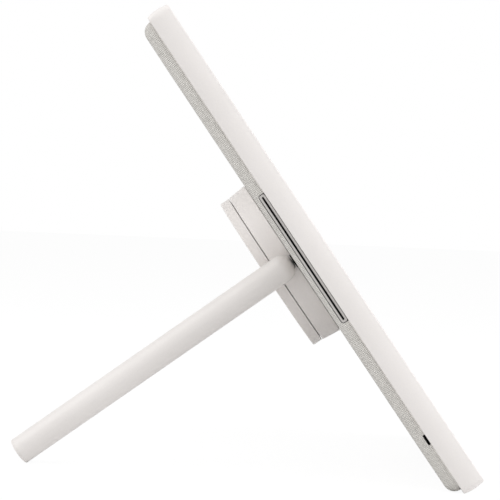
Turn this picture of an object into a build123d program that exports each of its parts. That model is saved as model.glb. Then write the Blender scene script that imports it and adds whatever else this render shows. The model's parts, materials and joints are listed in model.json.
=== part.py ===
"""Smart display with a fabric-covered back, a round hub that turns and a folding leg.

The frame leans back on its bottom edge and the leg. Millimetres, +Z up, the screen
faces -Y, and the origin is on the table, below the middle of the whole object.
Places on the display are given as x (across), u (up the display) and w (behind the
seat plane, where the front frame meets the rear housing).
"""

import os
from math import acos, atan2, cos, degrees, hypot, radians, sin, sqrt

from build123d import *

os.makedirs("parts", exist_ok=True)

# ---- front frame, glass and screen -------------------------------------------------
width = 179.0  # across the fullest line of the frame's sides
height = 263.0
frame_depth = 11.0
side_bulge = 0.75  # rise of the gently rounded sides
corner_radius = 3.0
front_edge = 0.5  # rounding of the frame's front edge
frame_wall = 2.4
glass_lip = 3.2  # border of the frame outside the glass
glass_recess = 0.3
glass_thickness = 1.2
mask_thickness = 0.15  # printed film behind the glass
ledge_thickness = 1.8  # shelf that carries the glass
side_border = 15.0  # from the frame's outline to the screen panel
end_border = 17.0
screen_width = width - 2 * side_border
screen_height = height - 2 * end_border
screen_thickness = 2.6
view_width = screen_width - 13.5  # lit area of the screen
view_height = screen_height - 12.2
plate_thickness = 1.2  # metal chassis plate behind the screen
plate_gap = 1.2  # from the plate's edge to the frame's wall

# ---- rear housing and its cloth -----------------------------------------------------
back_depth = 5.5
back_inset = 2.4  # cloth back stands this far inside the frame's outline
back_corner = 6.5
edge_radius = 5.4  # rounded rear edge
cloth_thickness = 0.6
housing_wall = 1.8

# ---- trims on the two long sides ----------------------------------------------------
trim_length = 69.4
trim_width = 2.9
trim_start = 0.2  # from the seat plane to the trim's front edge
trim_proud = 0.05
trim_gap = 0.2  # shadow gap round every trim
trim_depth = 1.7
trim_corner = 0.9
slit_length = 67.4
slit_width = 0.95
slit_skin = 0.45
mesh_thickness = 0.4
mic_height = 31.0  # above the frame's bottom end
mic_length = 5.2
mic_width = 1.0

# ---- hub ----------------------------------------------------------------------------
hub_gap = 0.3  # running gap from the cloth to the hub
glide_width = 5.0  # felt ring under the hub's edge
glide_gap = 0.06
glide_inset = 0.6
hub_radius = 44.35
hub_taper = 0.95  # on the radius, from the drum's front edge to its rear edge
cap_inset = 0.2
hub_depth = 9.75  # the hub's own drum, without its cap
seam_width = 0.5
cap_depth = 5.05
cap_edge = 0.5
hub_wall = 2.2
hub_floor = 2.0
cap_wall = 1.8

# ---- spindle that the hub turns on --------------------------------------------------
spindle_radius = 10.0
spindle_bore = 6.5
spindle_flange_radius = 19.0
spindle_flange = 1.2
spindle_screw_circle = 14.5
spindle_length = 12.2
running_gap = 0.05
washer_radius = 21.5
nut_radius = 14.0
nut_thickness = 2.4
spring_space = 1.0
turn_stop_radius = 26.0
turn_peg_radius = 1.5
turn_gap = 0.3
turn_start = 135.0  # angle of the peg in portrait, seen from behind
turn_range = 90.0

# ---- leg and its hinge --------------------------------------------------------------
leg_radius = 6.65
leg_length = 154.0  # from the hinge pin to the end of the foot
leg_clearance = 0.7  # from the cloth to the leg's round tip
leg_hub_gap = 0.5  # between the leg and the hub's widest line
leg_droop = 1.1  # degrees off square with the display
leg_bore = 4.75
leg_solid = 24.0  # solid top of the leg, past the pin
foot_thickness = 1.2
foot_edge = 0.4
pin_radius = 2.0
pin_fit = 0.02
guard_width = 6.4
guard_thickness = 0.42
guard_gap = 0.14
guard_overlap = 12.0  # how far it reaches in under the hub

# ---- where the display stands -------------------------------------------------------
pivot_w = back_depth + leg_clearance + leg_radius
leg_x = -(hub_radius + leg_hub_gap + leg_radius)
droop = radians(leg_droop)
rim_u = -(height / 2 - side_bulge)  # bottom rear corner of the frame, on the table
heel_along = leg_length - foot_edge
heel_out = leg_radius - foot_edge
heel_u = -heel_along * sin(droop) - heel_out * cos(droop)
heel_w = pivot_w + heel_along * cos(droop) - heel_out * sin(droop)
span = hypot(heel_u - rim_u, heel_w)
lean = acos(foot_edge / span) - atan2(heel_w, heel_u - rim_u)
crest_u = -heel_along * sin(droop) + heel_out * cos(droop)
crest_w = pivot_w + heel_along * cos(droop) + heel_out * sin(droop)
y_rear = crest_u * sin(lean) + crest_w * cos(lean) + foot_edge
y_front = rim_u * sin(lean) - frame_depth * cos(lean)
seat = Plane(
    origin=(0, -(y_rear + y_front) / 2, -rim_u * cos(lean)),
    x_dir=(1, 0, 0),
    z_dir=(0, -cos(lean), sin(lean)),
)
across, up, front = seat.x_dir, seat.y_dir, seat.z_dir
rear = front * -1


def at(x, u, w):
    """Point of the display at x across, u up and w behind the seat plane."""
    return seat.from_local_coords((x, u, -w))


def facing_rear(w):
    """Plane parallel to the display, w behind the seat, seen from behind: (-x, u)."""
    return Plane(origin=at(0, 0, w), x_dir=across * -1, z_dir=rear)


def facing_left(x):
    """Plane square across the display at x, looking out of its left side: (u, w)."""
    return Plane(origin=at(x, 0, 0), x_dir=up, z_dir=across * -1)


def facing_right(x):
    """Plane square across the display at x, looking out of its right side: (-u, w)."""
    return Plane(origin=at(x, 0, 0), x_dir=up * -1, z_dir=across)


hub_section = Plane(origin=at(0, 0, 0), x_dir=across, z_dir=up)  # (radius, w)
hub_axis = Axis(at(0, 0, 0), rear)


def back_form(inset, depth, corner, edge):
    """Solid of the rounded back: its outline, pulled in by inset, to the given depth."""
    with BuildPart() as form:
        with BuildSketch(facing_rear(0)):
            RectangleRounded(width - 2 * inset, height - 2 * inset, corner)
        extrude(amount=depth)
        fillet(form.faces().sort_by(hub_axis)[-1].edges(), edge)
    return form.part


def save(piece, name):
    """Label a finished piece and write it as its own STEP file."""
    piece.part.label = name
    export_step(piece.part, f"parts/{name}.step")


# ======================= front frame =================================================
core_width = width - 2 * side_bulge
core_height = height - 2 * side_bulge
glass_back = frame_depth - glass_recess - glass_thickness
ledge_top = glass_back - mask_thickness
ledge_bottom = ledge_top - ledge_thickness
pocket_width = core_width - 2 * glass_lip
pocket_height = core_height - 2 * glass_lip
pocket_corner = 2.0
screen_gap = 0.4
screen_back = ledge_top - 0.05 - screen_thickness
plate_front = screen_back - 0.1
plate_back = plate_front - plate_thickness
inner_width = core_width - 2 * frame_wall
inner_height = core_height - 2 * frame_wall

# camera, in the border beside the middle of the right-hand long side
camera_radius = 2.5
camera_size = 7.0
camera_x = screen_width / 2 + screen_gap + camera_radius + 1.2
shutter_travel = 8.0
shutter_thickness = 0.5
shutter_u = 7.7  # middle of the open shutter
shutter_length = 7.4
shutter_left = camera_x - 2.9
arm_width = 5.0
arm_thickness = 1.2
arm_x = camera_x + 5.4  # outer face of the shutter's arm
slide_gap = 0.3

# screws that hold the plate to the frame
boss_radius = 2.75
thread_radius = 1.0
shank_radius = 0.95
head_radius = 1.9
head_height = 1.3
boss_x = inner_width / 2 - 5.2
boss_u = inner_height / 2 - 5.2
plate_screws = [(sx * boss_x, su * boss_u) for sx in (-1, 1) for su in (-1, 0.45, -0.45, 1)]

with BuildPart() as front_frame:
    with BuildSketch(seat):
        RectangleRounded(core_width, core_height, corner_radius)
    extrude(amount=frame_depth)
    half_w, half_h = core_width / 2, core_height / 2
    tip_w, tip_h = half_w - corner_radius, half_h - corner_radius
    mid_w, mid_h = (tip + corner_radius * sqrt(0.5) for tip in (tip_w, tip_h))
    with BuildLine(seat) as rim_path:
        Line((half_w, 0), (half_w, tip_h))
        ThreePointArc((half_w, tip_h), (mid_w, mid_h), (tip_w, half_h))
        Line((tip_w, half_h), (-tip_w, half_h))
        ThreePointArc((-tip_w, half_h), (-mid_w, mid_h), (-half_w, tip_h))
        Line((-half_w, tip_h), (-half_w, -tip_h))
        ThreePointArc((-half_w, -tip_h), (-mid_w, -mid_h), (-tip_w, -half_h))
        Line((-tip_w, -half_h), (tip_w, -half_h))
        ThreePointArc((tip_w, -half_h), (mid_w, -mid_h), (half_w, -tip_h))
        Line((half_w, -tip_h), (half_w, 0))
    with BuildSketch(Plane(origin=at(half_w, 0, 0), x_dir=across, z_dir=up * -1)):
        with BuildLine():
            ThreePointArc((0, 0), (side_bulge, frame_depth / 2), (0, frame_depth))
            Line((0, frame_depth), (0, 0))
        make_face()
    sweep(path=rim_path.wire())
    with BuildSketch(seat.offset(ledge_top)):
        RectangleRounded(pocket_width, pocket_height, pocket_corner)
    extrude(amount=frame_depth, mode=Mode.SUBTRACT)
    with BuildSketch(seat):
        Rectangle(screen_width + 2 * screen_gap, screen_height + 2 * screen_gap)
    extrude(amount=frame_depth, mode=Mode.SUBTRACT)
    with BuildSketch(seat):
        RectangleRounded(inner_width, inner_height, pocket_corner)
    extrude(amount=ledge_bottom, mode=Mode.SUBTRACT)
    with BuildSketch(seat.offset(plate_front)):
        with Locations(*plate_screws):
            Circle(boss_radius)
    extrude(amount=ledge_bottom - plate_front + 0.2)
    with BuildSketch(seat.offset(plate_front)):
        with Locations(*plate_screws):
            Circle(thread_radius)
    extrude(amount=ledge_bottom - plate_front + 1.0, mode=Mode.SUBTRACT)
    # pocket that the shutter slides in, the lens hole and the slot for its arm
    track_length = shutter_length + shutter_travel + 2 * slide_gap
    track_u = shutter_u - shutter_travel / 2
    track_left = shutter_left - slide_gap
    track_right = arm_x + slide_gap
    with BuildSketch(seat.offset(ledge_top - 1.0)):
        with Locations(((track_left + track_right) / 2, track_u)):
            Rectangle(track_right - track_left, track_length)
    extrude(amount=1.0, mode=Mode.SUBTRACT)
    with BuildSketch(seat.offset(ledge_bottom)):
        with Locations((camera_x, 0)):
            Circle(camera_radius + 0.2)
        with Locations((arm_x - arm_thickness / 2, track_u)):
            Rectangle(arm_thickness + 2 * slide_gap, arm_width + shutter_travel + 2 * slide_gap)
    extrude(amount=ledge_thickness, mode=Mode.SUBTRACT)
    fillet(front_frame.faces().sort_by(hub_axis)[0].outer_wire().edges(), front_edge)
save(front_frame, "front_frame")

with BuildPart() as cover_glass:
    with BuildSketch(seat.offset(glass_back)):
        RectangleRounded(pocket_width - 0.3, pocket_height - 0.3, pocket_corner - 0.15)
    extrude(amount=glass_thickness)
    chamfer(cover_glass.faces().sort_by(hub_axis)[0].edges(), 0.2)
save(cover_glass, "cover_glass")

with BuildPart() as bezel_mask:
    with BuildSketch(seat.offset(ledge_top)):
        RectangleRounded(pocket_width - 0.8, pocket_height - 0.8, pocket_corner - 0.4)
        Rectangle(view_width, view_height, mode=Mode.SUBTRACT)
        with Locations((camera_x, 0)):
            Circle(camera_radius - 0.2, mode=Mode.SUBTRACT)
        # microphones on both sides of the lens, and the light sensor
        with Locations((camera_x, 24), (camera_x, -24)):
            Circle(0.6, mode=Mode.SUBTRACT)
        with Locations((camera_x, -13)):
            Circle(1.1, mode=Mode.SUBTRACT)
    extrude(amount=mask_thickness)
save(bezel_mask, "bezel_mask")

with BuildPart() as lcd_panel:
    with BuildSketch(seat.offset(screen_back)):
        Rectangle(screen_width, screen_height)
    extrude(amount=screen_thickness)
    # folded metal rim, a step lower than the lit area
    with BuildSketch(seat.offset(screen_back + screen_thickness)):
        Rectangle(screen_width, screen_height)
        Rectangle(view_width + 3, view_height + 3, mode=Mode.SUBTRACT)
    extrude(amount=-0.3, mode=Mode.SUBTRACT)
    # driver board along the lower edge
    with BuildSketch(seat.offset(screen_back)):
        with Locations((0, -screen_height / 2 + 9)):
            Rectangle(screen_width * 0.6, 12)
    extrude(amount=0.6, mode=Mode.SUBTRACT)
save(lcd_panel, "lcd_panel")

# ======================= chassis plate ===============================================
standoff_u = 78.0
board_width = screen_width - 45
board_height = 58.0
standoff_height = 1.6
board_holes = [
    (sx * (board_width / 2 - 4), standoff_u + su * (board_height / 2 - 4))
    for sx in (-1, 1)
    for su in (-1, 1)
]
post_radius = 2.75
post_corner = (width / 2 - 33, height / 2 - 19.5)
post_side = (width / 2 - 19.5, height / 6)
post_spots = [(sx * x, su * u) for x, u in (post_corner, post_side) for sx in (-1, 1) for su in (-1, 1)]
notch_left = camera_x - camera_size / 2 - 0.4
notch_low = -camera_size / 2 - 0.6
notch_high = shutter_u + arm_width / 2 + 0.6

with BuildPart() as chassis_plate:
    with BuildSketch(seat.offset(plate_back)):
        RectangleRounded(inner_width - 2 * plate_gap, inner_height - 2 * plate_gap, 3)
        # stamped weight-saving windows beside the middle
        with Locations((0, height / 6.5), (0, -height / 8.5)):
            RectangleRounded(screen_width / 2, 16, 4, mode=Mode.SUBTRACT)
        with Locations((notch_left + inner_width / 4, (notch_low + notch_high) / 2)):
            Rectangle(inner_width / 2, notch_high - notch_low, mode=Mode.SUBTRACT)
        with Locations(*plate_screws, *post_spots):
            Circle(thread_radius, mode=Mode.SUBTRACT)
    extrude(amount=plate_thickness)
    with BuildSketch(seat.offset(plate_back)):
        with Locations(*board_holes):
            Circle(2.2)
            Circle(thread_radius, mode=Mode.SUBTRACT)
    extrude(amount=-standoff_height)
save(chassis_plate, "chassis_plate")


def screw(x, u, seat_w, length):
    """Pan-head screw whose head stands on seat_w and whose shank runs towards the front."""
    head_plane = facing_rear(seat_w)
    with BuildPart() as piece:
        with BuildSketch(head_plane):
            with Locations((-x, u)):
                Circle(head_radius)
        extrude(amount=head_height)
        fillet(piece.faces().sort_by(hub_axis)[-1].edges(), 0.5)
        with BuildSketch(head_plane.offset(head_height)):
            with Locations((-x, u)):
                Rectangle(2.0, 0.5)
                Rectangle(0.5, 2.0)
        extrude(amount=-0.7, mode=Mode.SUBTRACT)
        with BuildSketch(head_plane):
            with Locations((-x, u)):
                Circle(shank_radius)
        extrude(amount=-length)
    return piece.part


def screw_group(name, spots, seat_w, length):
    """All like screws of one seat, written as one node of separate solids."""
    group = Compound(children=[screw(x, u, seat_w, length) for x, u in spots])
    group.label = name
    export_step(group, f"parts/{name}.step")


screw_group("chassis_screws", plate_screws, -plate_back, plate_thickness + 1.6)

# ======================= rear housing and cloth ======================================
floor_w = back_depth - cloth_thickness  # outer face of the housing's flat back
inside_w = floor_w - housing_wall
cloth_form = back_form(back_inset, back_depth, back_corner, edge_radius)
shell_inset = back_inset + cloth_thickness
shell_form = back_form(
    shell_inset, floor_w, back_corner - cloth_thickness, edge_radius - cloth_thickness
)
cavity_inset = shell_inset + housing_wall
cavity_form = back_form(
    cavity_inset,
    inside_w,
    back_corner - cloth_thickness - housing_wall,
    edge_radius - cloth_thickness - housing_wall,
)
aperture_radius = turn_stop_radius + 4.5
trim_mid = trim_start + trim_width / 2
mic_u = mic_height - height / 2
mic_mid = 0.1 + mic_width / 2

# controls on the right-hand long side
slider_u = shutter_u
volume_mid, volume_pitch = 2.0, 48.0
volume_spots = {
    "volume_up_button": volume_mid + volume_pitch / 2,
    "volume_down_button": volume_mid - volume_pitch / 2,
}
button_length = 10.0
button_width = 1.5
button_travel = 0.5
control_gap = 0.15
knob_length = 5.4
knob_slot = knob_length + shutter_travel + 2 * slide_gap
knob_mid = slider_u - shutter_travel / 2

bass_u = -78.0
bass_radius = 21.0
sound_slot = 1.8


def trim_hole(gap, length=trim_length, size=trim_width, radius=trim_corner):
    """Rounded window for a side trim, grown by gap all round."""
    RectangleRounded(length + 2 * gap, size + 2 * gap, radius + gap)


with BuildPart() as rear_housing:
    add(shell_form)
    add(cavity_form, mode=Mode.SUBTRACT)
    # low stiffening ribs across the upper half of the tray, beside the board
    rib_width, rib_height = 1.2, 0.9
    with BuildSketch(facing_rear(inside_w + 0.1)):
        with Locations((0, standoff_u)):
            with GridLocations(screen_width / 6, 0, 5, 1):
                Rectangle(rib_width, board_height + 18)
    extrude(amount=-rib_height - 0.1)
    # spigot that locates the housing inside the frame's wall
    spigot_gap = 0.2
    spigot_height = 2.5
    with BuildSketch(seat):
        RectangleRounded(inner_width - 2 * spigot_gap, inner_height - 2 * spigot_gap, 2.5)
        RectangleRounded(width - 2 * cavity_inset, height - 2 * cavity_inset, 2.0, mode=Mode.SUBTRACT)
    extrude(amount=spigot_height)
    # posts that the chassis plate stands on
    with BuildSketch(facing_rear(inside_w)):
        with Locations(*post_spots):
            Circle(post_radius)
    extrude(amount=-(inside_w + plate_back))
    with BuildSketch(facing_rear(floor_w)):
        with Locations(*post_spots):
            Circle(shank_radius + 0.15)
    extrude(amount=-(floor_w + plate_back), mode=Mode.SUBTRACT)
    with BuildSketch(facing_rear(floor_w)):
        with Locations(*post_spots):
            Circle(head_radius + 0.2)
    extrude(amount=-(head_height + 0.1), mode=Mode.SUBTRACT)
    # spindle hole, its screw holes and the slot that ends the hub's turn
    with BuildSketch(facing_rear(floor_w)):
        Circle(spindle_radius + 0.3)
        with PolarLocations(spindle_screw_circle, 4):
            Circle(thread_radius)
    extrude(amount=-housing_wall, mode=Mode.SUBTRACT)
    turn_end = turn_start + turn_range
    slot_half = turn_peg_radius + turn_gap
    slot_start, slot_end = (
        (turn_stop_radius * cos(radians(turn)), turn_stop_radius * sin(radians(turn)))
        for turn in (turn_start, turn_end)
    )
    with BuildSketch(facing_rear(floor_w)):
        with BuildLine():
            CenterArc((0, 0), turn_stop_radius - slot_half, turn_start, turn_range)
            CenterArc((0, 0), turn_stop_radius + slot_half, turn_start, turn_range)
            CenterArc(slot_end, slot_half, turn_end, 180)
            CenterArc(slot_start, slot_half, turn_start, -180)
        make_face()
    extrude(amount=-housing_wall, mode=Mode.SUBTRACT)
    # sound slots under the cloth, behind the bass driver
    with BuildSketch(facing_rear(floor_w)):
        with Locations((0, bass_u)):
            with GridLocations(0, bass_radius / 5, 1, 7):
                SlotOverall(bass_radius * 1.4, sound_slot)
    extrude(amount=-housing_wall, mode=Mode.SUBTRACT)
    # windows in the side walls for the vent trim, the microphone and the controls
    with BuildSketch(facing_left(-width / 2)):
        with Locations((0, trim_mid)):
            trim_hole(trim_gap)
        with Locations((mic_u, mic_mid)):
            trim_hole(trim_gap, mic_length, mic_width, 0.35)
    extrude(amount=-width / 5, mode=Mode.SUBTRACT)
    with BuildSketch(facing_right(width / 2)):
        with Locations((0, trim_mid)):
            trim_hole(trim_gap)
    extrude(amount=-width / 5, mode=Mode.SUBTRACT)
save(rear_housing, "rear_housing")

with BuildPart() as fabric_cover:
    add(cloth_form)
    add(shell_form, mode=Mode.SUBTRACT)
    with BuildSketch(facing_rear(back_depth)):
        Circle(aperture_radius)
    extrude(amount=-back_depth, mode=Mode.SUBTRACT)
    with BuildSketch(facing_left(-width / 2)):
        with Locations((0, trim_mid)):
            trim_hole(trim_gap)
        with Locations((mic_u, mic_mid)):
            trim_hole(trim_gap, mic_length, mic_width, 0.35)
    extrude(amount=-width / 5, mode=Mode.SUBTRACT)
    with BuildSketch(facing_right(width / 2)):
        with Locations((0, trim_mid)):
            trim_hole(trim_gap)
    extrude(amount=-width / 5, mode=Mode.SUBTRACT)
save(fabric_cover, "fabric_cover")

post_screw_seat = floor_w - head_height - 0.1
screw_group("housing_screws", post_spots, post_screw_seat, post_screw_seat + plate_front - 0.1)

# ======================= side trims ==================================================
trim_form = back_form(
    back_inset - trim_proud, back_depth + trim_proud, back_corner + trim_proud, edge_radius
)
cloth_side = width / 2 - back_inset  # widest line of the cloth back
trim_back = cloth_side - trim_depth  # flat inner face of every side trim
trim_reach = width / 2 - trim_back
trim_face = cloth_side + trim_proud - edge_radius + sqrt(edge_radius**2 - trim_mid**2)
mesh_face = trim_face - slit_skin  # outer face of the mesh, close behind the slit
mesh_border = 0.8

with BuildPart() as vent_bezel:
    with BuildSketch(facing_left(-width / 2)):
        with Locations((0, trim_mid)):
            trim_hole(0)
    extrude(amount=-trim_reach)
    add(trim_form, mode=Mode.INTERSECT)
    with BuildSketch(facing_left(-width / 2)):
        with Locations((0, trim_mid)):
            SlotOverall(slit_length, slit_width)
    extrude(amount=-8, mode=Mode.SUBTRACT)
    # pocket from inside, which leaves a thin skin round the slit
    with BuildSketch(facing_left(-trim_back)):
        with Locations((0, trim_mid)):
            SlotOverall(slit_length + 1.0, slit_width + mesh_border)
    extrude(amount=mesh_face - trim_back, mode=Mode.SUBTRACT)
save(vent_bezel, "vent_bezel")

with BuildPart() as mic_port:
    with BuildSketch(facing_left(-width / 2)):
        with Locations((mic_u, mic_mid)):
            RectangleRounded(mic_length, mic_width, 0.35)
    extrude(amount=-trim_reach)
    add(trim_form, mode=Mode.INTERSECT)
    with BuildSketch(facing_left(-width / 2)):
        with Locations((mic_u, mic_mid)):
            SlotOverall(mic_length - 1.4, 0.3)
    extrude(amount=-8, mode=Mode.SUBTRACT)
save(mic_port, "mic_port")

with BuildPart() as control_bezel:
    with BuildSketch(facing_right(width / 2)):
        with Locations((0, trim_mid)):
            trim_hole(0)
    extrude(amount=-trim_reach)
    add(trim_form, mode=Mode.INTERSECT)
    with BuildSketch(facing_right(width / 2)):
        for spot in volume_spots.values():
            with Locations((-spot, trim_mid)):
                SlotOverall(button_length + 2 * control_gap, button_width + 2 * control_gap)
        with Locations((-knob_mid, trim_mid)):
            SlotOverall(knob_slot, button_width + 2 * control_gap)
    extrude(amount=-8, mode=Mode.SUBTRACT)
save(control_bezel, "control_bezel")

# ======================= speakers ====================================================
with BuildPart() as vent_mesh:
    with BuildSketch(facing_left(-mesh_face)):
        with Locations((0, trim_mid)):
            SlotOverall(slit_length + 0.9, slit_width + mesh_border - 0.1)
    extrude(amount=-mesh_thickness)
save(vent_mesh, "vent_mesh")

speaker_left = -(width / 2 - cavity_inset - 0.1)
speaker_depth = 32.0
speaker_length = 66.0
speaker_front = -(plate_back - 0.2)
speaker_rear = inside_w - 0.1
speaker_thickness = speaker_rear - speaker_front
speaker_mid = (speaker_front + speaker_rear) / 2
with BuildPart() as side_speaker:
    with BuildSketch(facing_left(speaker_left)):
        with Locations((0, speaker_mid)):
            RectangleRounded(speaker_length, speaker_thickness, 1.2)
    extrude(amount=-speaker_depth)
    with BuildSketch(facing_left(speaker_left)):
        with Locations((0, speaker_mid)):
            RectangleRounded(speaker_length - 3, speaker_thickness - 3, 0.8)
    extrude(amount=-3.0, mode=Mode.SUBTRACT)
    with BuildSketch(facing_left(speaker_left + 3.0)):
        with Locations((0, speaker_mid)):
            SlotOverall(speaker_length * 0.6 + 0.2, speaker_thickness - 3.4)
    extrude(amount=-7.0, mode=Mode.SUBTRACT)
save(side_speaker, "side_speaker")

driver_length = speaker_length * 0.6
with BuildPart() as side_driver:
    driver_height = speaker_thickness - 3.6
    with BuildSketch(facing_left(speaker_left + 3.2)):
        with Locations((0, speaker_mid)):
            SlotOverall(driver_length, driver_height)
    extrude(amount=-1.2)
    with BuildSketch(facing_left(speaker_left + 4.4)):
        with Locations((0, speaker_mid)):
            SlotOverall(driver_length - 9.6, driver_height - 1)
    extrude(amount=-5.4)
    with BuildSketch(facing_left(speaker_left + 3.2)):
        with Locations((0, speaker_mid)):
            SlotOverall(driver_length - 5.6, driver_height - 1.4)
            SlotOverall(driver_length - 15.6, driver_height - 3, mode=Mode.SUBTRACT)
    extrude(amount=-0.5, mode=Mode.SUBTRACT)
save(side_driver, "side_driver")

bass_rear = inside_w - 0.1
bass_front = -(plate_back - 0.2)
magnet_radius = bass_radius * 0.55
roll_radius = bass_radius - 4.2
cone_radius = bass_radius - 7.4
dome_radius = bass_radius / 3
bass_axis = Axis(at(0, bass_u, 0), rear)
bass_section = Plane(origin=at(0, bass_u, 0), x_dir=across, z_dir=up)
with BuildPart() as bass_driver:
    with BuildSketch(bass_section):
        with BuildLine():
            Polyline(
                (0, bass_front),
                (magnet_radius, bass_front),
                (magnet_radius, bass_front + 3.2),
                (magnet_radius + 2.5, bass_front + 3.6),
                (bass_radius - 2.4, bass_rear - 1.6),
                (bass_radius, bass_rear - 1.2),
                (bass_radius, bass_rear),
                (bass_radius - 2.1, bass_rear),
                (bass_radius - 3.4, bass_rear - 1.4),
                (magnet_radius - 1.3, bass_front + 4.2),
                (magnet_radius - 1.3, bass_front + 1.4),
                (0, bass_front + 1.4),
                close=True,
            )
        make_face()
    revolve(axis=bass_axis)
save(bass_driver, "bass_driver")

with BuildPart() as bass_cone:
    with BuildSketch(bass_section):
        with BuildLine():
            dome_mid = (dome_radius * 0.57, bass_rear - 2.3)
            roll_mid = ((cone_radius + roll_radius) / 2, bass_rear - 0.7)
            dome = ThreePointArc((0, bass_rear - 1.9), dome_mid, (dome_radius, bass_rear - 3.6))
            slope = Line(dome @ 1, (cone_radius, bass_rear - 1.7))
            roll = ThreePointArc(slope @ 1, roll_mid, (roll_radius, bass_rear - 1.3))
            Polyline(
                roll @ 1,
                (roll_radius, bass_rear - 1.55),
                (cone_radius, bass_rear - 2.1),
                (dome_radius + 0.2, bass_rear - 4.0),
                (0, bass_rear - 2.4),
                (0, bass_rear - 1.9),
            )
        make_face()
    revolve(axis=bass_axis)
save(bass_cone, "bass_cone")

# ======================= electronics =================================================
board_back = -(plate_back - standoff_height)  # w of the board's face on the standoffs
board_thickness = 1.2
with BuildPart() as main_board:
    with BuildSketch(facing_rear(board_back)):
        with Locations((0, standoff_u)):
            RectangleRounded(board_width, board_height, 2)
        with Locations(*board_holes):
            Circle(thread_radius + 0.1, mode=Mode.SUBTRACT)
    extrude(amount=board_thickness)
    with BuildSketch(facing_rear(board_back + board_thickness)):
        # plug sockets along the lower edge and three coils beside the shield can
        with Locations((0, standoff_u - board_height / 2 + 7)):
            with GridLocations(board_width / 4, 0, 3, 1):
                Rectangle(11, 4)
        with Locations((board_width / 2 - 15, standoff_u)):
            with GridLocations(0, 12, 1, 3):
                Rectangle(8, 8)
    extrude(amount=1.4)
save(main_board, "main_board")

can_width, can_height, can_depth = board_width * 0.45, board_height * 0.6, 1.9
can_x, can_u = -4.0, standoff_u + 6
spreader_width, spreader_height = can_width + 12, can_height + 5.2
fin_width = 1.0
with BuildPart() as shield_can:
    with BuildSketch(facing_rear(board_back + board_thickness)):
        with Locations((can_x, can_u)):
            RectangleRounded(can_width, can_height, 1.5)
    extrude(amount=can_depth)
    with BuildSketch(facing_rear(board_back + board_thickness)):
        with Locations((can_x, can_u)):
            RectangleRounded(can_width - 0.6, can_height - 0.6, 1.2)
    extrude(amount=can_depth - 0.3, mode=Mode.SUBTRACT)
save(shield_can, "shield_can")

spreader_w = board_back + board_thickness + can_depth + 0.1
with BuildPart() as heat_spreader:
    with BuildSketch(facing_rear(spreader_w)):
        with Locations((can_x, can_u)):
            RectangleRounded(spreader_width, spreader_height, 3)
    extrude(amount=0.8)
    with BuildSketch(facing_rear(spreader_w + 0.8)):
        with Locations((can_x, can_u)):
            with GridLocations(0, spreader_height / 8, 1, 7):
                Rectangle(spreader_width - 6, fin_width)
    extrude(amount=1.2)
save(heat_spreader, "heat_spreader")

screw_group("board_screws", board_holes, board_back + board_thickness, board_thickness + standoff_height)

with BuildPart() as camera_module:
    with BuildSketch(seat.offset(ledge_bottom - 0.05)):
        with Locations((camera_x, 0)):
            RectangleRounded(camera_size, camera_size, 0.6)
    extrude(amount=-3.6)
    with BuildSketch(seat.offset(ledge_bottom - 0.05)):
        with Locations((camera_x, 0)):
            Circle(camera_radius)
    extrude(amount=0.7)
    with BuildSketch(seat.offset(ledge_bottom + 0.65)):
        with Locations((camera_x, 0)):
            Circle(camera_radius - 0.7)
    extrude(amount=-0.5, mode=Mode.SUBTRACT)
save(camera_module, "camera_module")

# ======================= side controls ===============================================
switch_face = cloth_side - 3.4
board_face = switch_face - 1.9
stem_end = switch_face + button_travel + 0.15

for name, spot in volume_spots.items():
    with BuildPart() as volume_button:
        with BuildSketch(facing_right(trim_face + 0.45)):
            with Locations((-spot, trim_mid)):
                SlotOverall(button_length, button_width)
        extrude(amount=-1.9)
        fillet(volume_button.faces().sort_by(Axis.X)[-1].edges(), 0.35)
        with BuildSketch(facing_right(trim_face + 0.45 - 1.9)):
            with Locations((-spot, trim_mid)):
                Rectangle(button_length - 3.0, button_width)
        extrude(amount=-(trim_face + 0.45 - 1.9 - stem_end))
        # flange that keeps the button behind the bezel
        with BuildSketch(facing_right(trim_back - 0.1)):
            with Locations((-spot, trim_mid)):
                Rectangle(button_length + 1.5, button_width + 0.8)
        extrude(amount=-0.8)
    save(volume_button, name)

with BuildPart() as switch_board:
    with BuildSketch(facing_right(board_face)):
        with Locations((-(volume_mid), inside_w - 3.4)):
            Rectangle(volume_pitch + 14, 6.6)
    extrude(amount=-1.0)
    with BuildSketch(facing_right(board_face)):
        for spot in volume_spots.values():
            with Locations((-spot, trim_mid)):
                Rectangle(4.4, 2.6)
    extrude(amount=1.4)
    with BuildSketch(facing_right(board_face + 1.4)):
        for spot in volume_spots.values():
            with Locations((-spot, trim_mid)):
                Circle(0.9)
    extrude(amount=0.5)
save(switch_board, "switch_board")

with BuildPart() as lens_shutter:
    plate_level = ledge_top - 0.75
    with BuildSketch(seat.offset(plate_level)):
        with Locations(((shutter_left + arm_x) / 2, shutter_u)):
            Rectangle(arm_x - shutter_left, shutter_length)
    extrude(amount=shutter_thickness)
    with BuildSketch(seat.offset(plate_level)):
        with Locations((arm_x - arm_thickness / 2, shutter_u)):
            Rectangle(arm_thickness, arm_width)
    extrude(amount=-(plate_level + trim_mid + button_width / 2))
save(lens_shutter, "lens_shutter")

with BuildPart() as privacy_slider:
    with BuildSketch(facing_right(arm_x)):
        with Locations((-slider_u, trim_mid)):
            Rectangle(arm_width - 1, button_width)
    extrude(amount=trim_face - 1.2 - arm_x)
    with BuildSketch(facing_right(trim_face - 1.2)):
        with Locations((-slider_u, trim_mid)):
            SlotOverall(knob_length, button_width)
    extrude(amount=1.7)
    # three finger ridges across the knob
    with BuildSketch(facing_right(trim_face + 0.5)):
        with Locations((-slider_u, trim_mid)):
            with GridLocations(1.1, 0, 3, 1):
                Rectangle(0.35, button_width)
    extrude(amount=-0.25, mode=Mode.SUBTRACT)
save(privacy_slider, "privacy_slider")

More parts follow.
